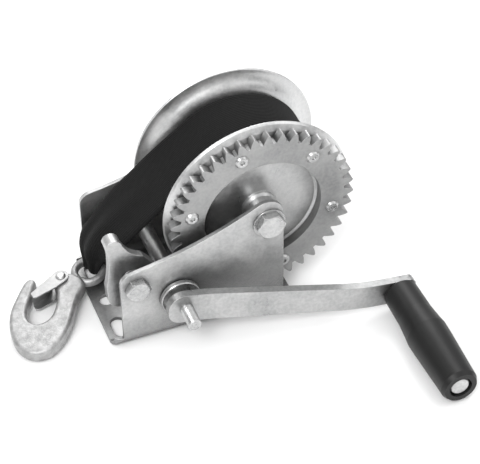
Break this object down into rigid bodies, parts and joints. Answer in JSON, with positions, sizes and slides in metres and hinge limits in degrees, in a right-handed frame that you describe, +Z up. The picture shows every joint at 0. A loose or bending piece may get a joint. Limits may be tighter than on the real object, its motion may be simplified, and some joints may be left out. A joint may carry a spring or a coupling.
{
  "type": "boat trailer winch",
  "caption": "Hand-cranked geared winch: a folded steel channel carries a strap drum, ring gear, pinion, pawl, crank with grip, and webbing ending in a latched hook.",
  "frame": {"origin": "middle of the underside of the base plate", "axes": "+X away from the hook, towards the drum's overhang; +Y from the gear side to the far side plate, along the drum axle; +Z up from the mounting face"},
  "size_m": [0.2893, 0.2474, 0.154],
  "materials": {
    "zinc_frame": "satin zinc plating on folded sheet, slightly cloudy",
    "zinc_drum": "bright zinc plating with turned marks on the rims",
    "gear_steel": "satin zinc plating with sheared tooth edges",
    "zinc_crank": "bright zinc plating",
    "pawl_steel": "bright zinc plating, rounded stamped edges",
    "forged_hook": "rough forged surface under zinc plating",
    "latch_sheet": "bright zinc plated sheet",
    "webbing": "woven polyester webbing",
    "grip_plastic": "moulded plastic with a soft sheen",
    "spring_steel": "drawn spring wire",
    "hardware": "bright zinc plated fasteners"
  },
  "bodies": {
    "frame": {"frame_channel": "zinc_frame", "drum_axle_bolt": "hardware", "axle_near_washer": "hardware", "axle_far_washer": "hardware", "axle_nut": "hardware", "axle_sleeve": "hardware", "shaft_near_bush": "hardware", "shaft_far_bush": "hardware", "pawl_bolt": "hardware", "pawl_nut": "hardware", "pawl_spacer": "hardware", "pawl_spring": "spring_steel", "strap_tail": "webbing"},
    "drum": {"near_flange": "zinc_drum", "far_flange": "zinc_drum", "drum_core": "zinc_drum", "near_hub_bush": "hardware", "far_hub_bush": "hardware", "hub_collar": "zinc_drum", "ring_gear": "gear_steel", "gear_rivets": "hardware", "strap_roll": "webbing", "strap_anchor_bolt": "hardware", "strap_anchor_nut": "hardware"},
    "crank": {"pinion": "gear_steel", "crank_shaft": "hardware", "shaft_retaining_ring": "hardware", "crank_spacer": "hardware", "crank_cup_washer": "zinc_crank", "crank_arm": "zinc_crank", "grip_washer": "hardware", "grip_rivet": "hardware"},
    "grip": {"crank_grip": "grip_plastic"},
    "pawl": {"pawl": "pawl_steel"},
    "hook": {"hook": "forged_hook", "latch_rivet": "hardware"},
    "latch": {"latch": "latch_sheet"}
  },
  "joints": [
    {"name": "drum_spin", "type": "hinge", "parent": "frame", "child": "drum", "pos_m": [0.0505, 0, 0.083], "axis": [0, 1, 0], "continuous": true},
    {"name": "pinion_spin", "type": "hinge", "parent": "frame", "child": "crank", "pos_m": [-0.0188, 0, 0.03755], "axis": [0, 1, 0], "continuous": true},
    {"name": "grip_spin", "type": "hinge", "parent": "crank", "child": "grip", "pos_m": [0.1375, -0.136, 0.0158], "axis": [0, 1, 0], "continuous": true},
    {"name": "pawl_pivot", "type": "hinge", "parent": "frame", "child": "pawl", "pos_m": [-0.0495, -0.0325, 0.055], "axis": [0, -1, 0], "range_deg": [0, 25]},
    {"name": "hook_swing", "type": "hinge", "parent": "frame", "child": "hook", "pos_m": [-0.05645, 0.02663, 0.0155], "axis": [-0.5075, 0.8616, 0], "range_deg": [0, 50]},
    {"name": "latch_hinge", "type": "hinge", "parent": "hook", "child": "latch", "pos_m": [-0.08655, 0.01993, 0.01234], "axis": [-0.0923, -0.0544, 0.9942], "range_deg": [0, 26], "stiffness_Nm_per_rad": 0.02}
  ],
  "couplings": [
    {"joint": "pinion_spin", "follows": "drum_spin", "ratio": -4.1}
  ]
}
